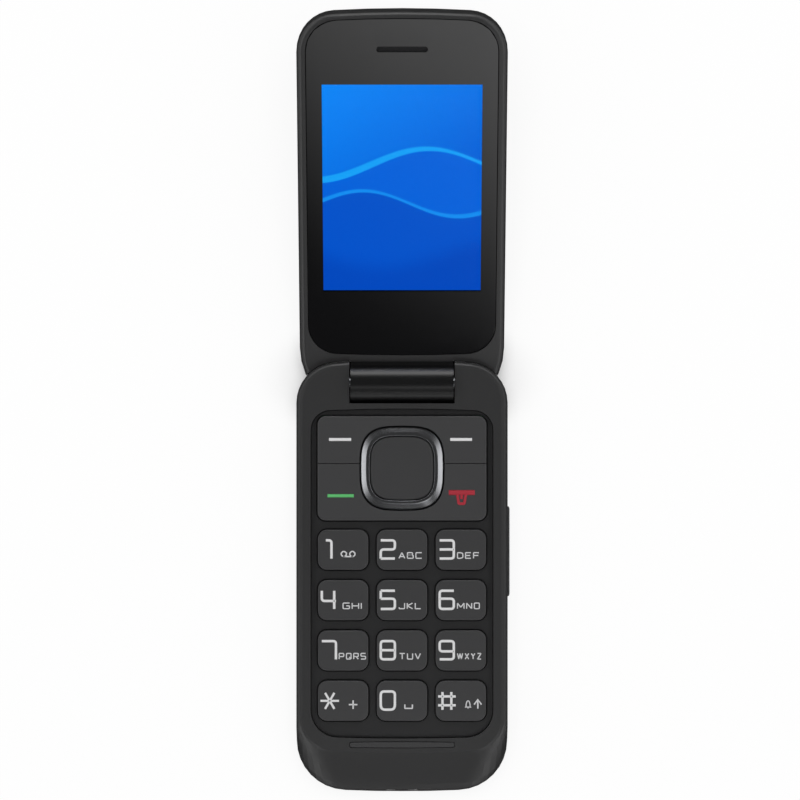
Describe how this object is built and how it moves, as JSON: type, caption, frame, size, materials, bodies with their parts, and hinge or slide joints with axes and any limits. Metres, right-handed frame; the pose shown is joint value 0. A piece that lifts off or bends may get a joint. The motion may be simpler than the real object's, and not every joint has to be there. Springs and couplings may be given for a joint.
{
  "type": "flip phone",
  "caption": "Open flip phone: keypad half with shoulders round a hinge barrel, lid with a glossy lens over the screen, sloping chin.",
  "frame": {"origin": "centre of the flat back of the base", "axes": "+Z out of the keypad face, +Y from the chin towards the hinge and lid, +X to the right of the keypad"},
  "size_m": [0.0501, 0.1816, 0.0339],
  "materials": {
    "housing": "fine matt moulded black plastic",
    "cover_plastic": "fine textured black plastic",
    "frame_plastic": "matt black plastic",
    "plate_plastic": "satin dark grey plastic",
    "key_plastic": "satin dark grey plastic",
    "ring_plastic": "dark plated plastic",
    "rubber_strip": "soft black rubber",
    "rubber": "silicone rubber",
    "lens": "glossy lens printed black from behind",
    "screen": "lit screen",
    "camera_glass": "glossy black window",
    "mesh": "fine black mesh",
    "battery": "satin wrap",
    "black_plastic": "matt",
    "board": "solder mask",
    "tin": "tinned sheet",
    "steel": "turned steel",
    "film": "clear film",
    "flex": "polyimide",
    "card": "matt card"
  },
  "bodies": {
    "root": {"base_front_housing": "housing", "base_rear_housing": "housing", "battery_pack": "battery", "battery_contacts": "black_plastic", "main_board": "board", "shield_cans": "tin", "dome_sheet": "film", "keypad_mat": "rubber", "keypad_frame": "frame_plastic", "bumper_strip": "rubber_strip", "side_key_board": "flex", "loudspeaker": "black_plastic", "microphone": "tin", "vibration_motor": "steel", "antenna": "black_plastic", "usb_socket": "steel", "headset_jack": "black_plastic", "sim_holder": "tin", "sim_card": "card", "memory_card_holder": "tin", "base_screws": "steel", "hinge_shaft": "steel", "hinge_pin": "steel"},
    "lid": {"lid_inner_housing": "housing", "lid_outer_housing": "housing", "screen_lens": "lens", "lcd_module": "screen", "light_guide": "film", "lid_board": "board", "earpiece_mesh": "mesh", "earpiece": "black_plastic", "camera_module": "black_plastic", "camera_window": "camera_glass", "hinge_cam_module": "steel", "hinge_flex": "flex", "closing_magnet": "tin", "lid_screws": "steel"},
    "battery_cover": {"battery_cover": "cover_plastic"},
    "soft_key_bar": {"soft_key_bar": "plate_plastic"},
    "call_key_bar": {"call_key_bar": "plate_plastic"},
    "nav_ring": {"nav_ring": "ring_plastic"},
    "ok_key": {"ok_key": "key_plastic"},
    "volume_key": {"volume_key": "housing"},
    "key_1": {"key_1": "key_plastic"},
    "key_2": {"key_2": "key_plastic"},
    "key_3": {"key_3": "key_plastic"},
    "key_4": {"key_4": "key_plastic"},
    "key_5": {"key_5": "key_plastic"},
    "key_6": {"key_6": "key_plastic"},
    "key_7": {"key_7": "key_plastic"},
    "key_8": {"key_8": "key_plastic"},
    "key_9": {"key_9": "key_plastic"},
    "key_star": {"key_star": "key_plastic"},
    "key_0": {"key_0": "key_plastic"},
    "key_hash": {"key_hash": "key_plastic"}
  },
  "joints": [
    {"name": "lid_hinge", "type": "hinge", "parent": "root", "child": "lid", "pos_m": [0, 0.0453, 0.0088], "axis": [1, 0, 0], "range_deg": [0, 161.5]},
    {"name": "cover_slide", "type": "slide", "parent": "root", "child": "battery_cover", "axis": [0, -1, 0], "range_m": [0, 0.008]},
    {"name": "press_1", "type": "slide", "parent": "root", "child": "key_1", "axis": [0, 0, -1], "range_m": [0, 0.0003], "stiffness_N_per_m": 1000},
    {"name": "press_2", "type": "slide", "parent": "root", "child": "key_2", "axis": [0, 0, -1], "range_m": [0, 0.0003], "stiffness_N_per_m": 1000},
    {"name": "press_3", "type": "slide", "parent": "root", "child": "key_3", "axis": [0, 0, -1], "range_m": [0, 0.0003], "stiffness_N_per_m": 1000},
    {"name": "press_4", "type": "slide", "parent": "root", "child": "key_4", "axis": [0, 0, -1], "range_m": [0, 0.0003], "stiffness_N_per_m": 1000},
    {"name": "press_5", "type": "slide", "parent": "root", "child": "key_5", "axis": [0, 0, -1], "range_m": [0, 0.0003], "stiffness_N_per_m": 1000},
    {"name": "press_6", "type": "slide", "parent": "root", "child": "key_6", "axis": [0, 0, -1], "range_m": [0, 0.0003], "stiffness_N_per_m": 1000},
    {"name": "press_7", "type": "slide", "parent": "root", "child": "key_7", "axis": [0, 0, -1], "range_m": [0, 0.0003], "stiffness_N_per_m": 1000},
    {"name": "press_8", "type": "slide", "parent": "root", "child": "key_8", "axis": [0, 0, -1], "range_m": [0, 0.0003], "stiffness_N_per_m": 1000},
    {"name": "press_9", "type": "slide", "parent": "root", "child": "key_9", "axis": [0, 0, -1], "range_m": [0, 0.0003], "stiffness_N_per_m": 1000},
    {"name": "press_star", "type": "slide", "parent": "root", "child": "key_star", "axis": [0, 0, -1], "range_m": [0, 0.0003], "stiffness_N_per_m": 1000},
    {"name": "press_0", "type": "slide", "parent": "root", "child": "key_0", "axis": [0, 0, -1], "range_m": [0, 0.0003], "stiffness_N_per_m": 1000},
    {"name": "press_hash", "type": "slide", "parent": "root", "child": "key_hash", "axis": [0, 0, -1], "range_m": [0, 0.0003], "stiffness_N_per_m": 1000},
    {"name": "press_ok", "type": "slide", "parent": "root", "child": "ok_key", "axis": [0, 0, -1], "range_m": [0, 0.0003], "stiffness_N_per_m": 1000},
    {"name": "soft_key_tilt", "type": "hinge", "parent": "root", "child": "soft_key_bar", "pos_m": [0, 0.0318, 0.0082], "axis": [0, 1, 0], "range_deg": [-1, 1], "stiffness_Nm_per_rad": 1},
    {"name": "call_key_tilt", "type": "hinge", "parent": "root", "child": "call_key_bar", "pos_m": [0, 0.0188, 0.0082], "axis": [0, 1, 0], "range_deg": [-1, 1], "stiffness_Nm_per_rad": 1},
    {"name": "nav_tilt", "type": "hinge", "parent": "root", "child": "nav_ring", "pos_m": [0, 0.0253, 0.0082], "axis": [1, 0, 0], "range_deg": [-1.7, 1.7], "stiffness_Nm_per_rad": 0.5},
    {"name": "volume_tilt", "type": "hinge", "parent": "root", "child": "volume_key", "pos_m": [0.0233, 0.0057, 0.0072], "axis": [0, 0, 1], "range_deg": [-1.5, 1.5], "stiffness_Nm_per_rad": 0.5}
  ]
}
